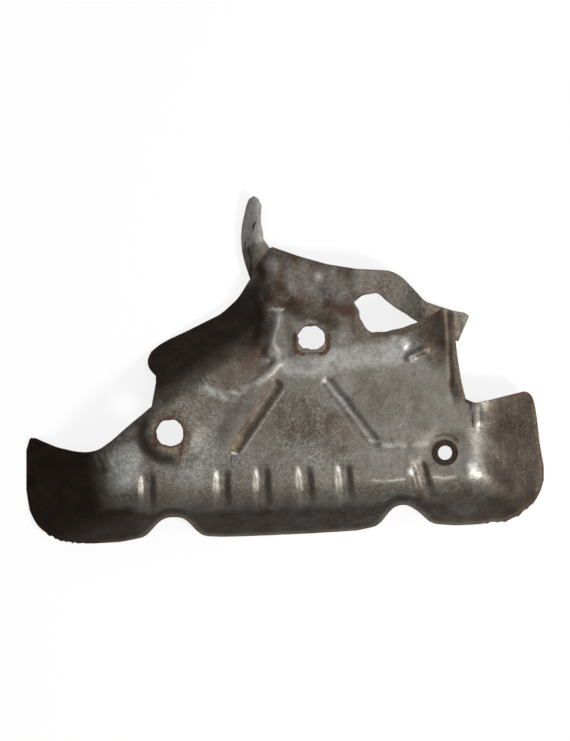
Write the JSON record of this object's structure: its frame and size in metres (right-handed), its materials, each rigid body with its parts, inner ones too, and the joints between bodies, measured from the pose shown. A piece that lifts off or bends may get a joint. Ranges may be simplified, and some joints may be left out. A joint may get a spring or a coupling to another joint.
{
  "type": "exhaust heat shield",
  "caption": "Pressed steel exhaust manifold heat shield with falling walls, stiffening beads, torn wing and strip, bolt holes and one bolt eyelet.",
  "frame": {"origin": "under the middle of the plan, at the level of the rim that it rests on", "axes": "+X along the length towards the eyelet's end, +Y from the notched bottom rim to the tongue, +Z out of the main face"},
  "size_m": [0.3712, 0.2487, 0.048],
  "materials": {
    "tarnished_steel": "heat-tinted, sooty and rusted at the holes and rims",
    "rusted_eyelet": "dark brown rust"
  },
  "bodies": {
    "root": {"heat_shield": "tarnished_steel", "bolt_eyelet": "rusted_eyelet"}
  },
  "joints": []
}
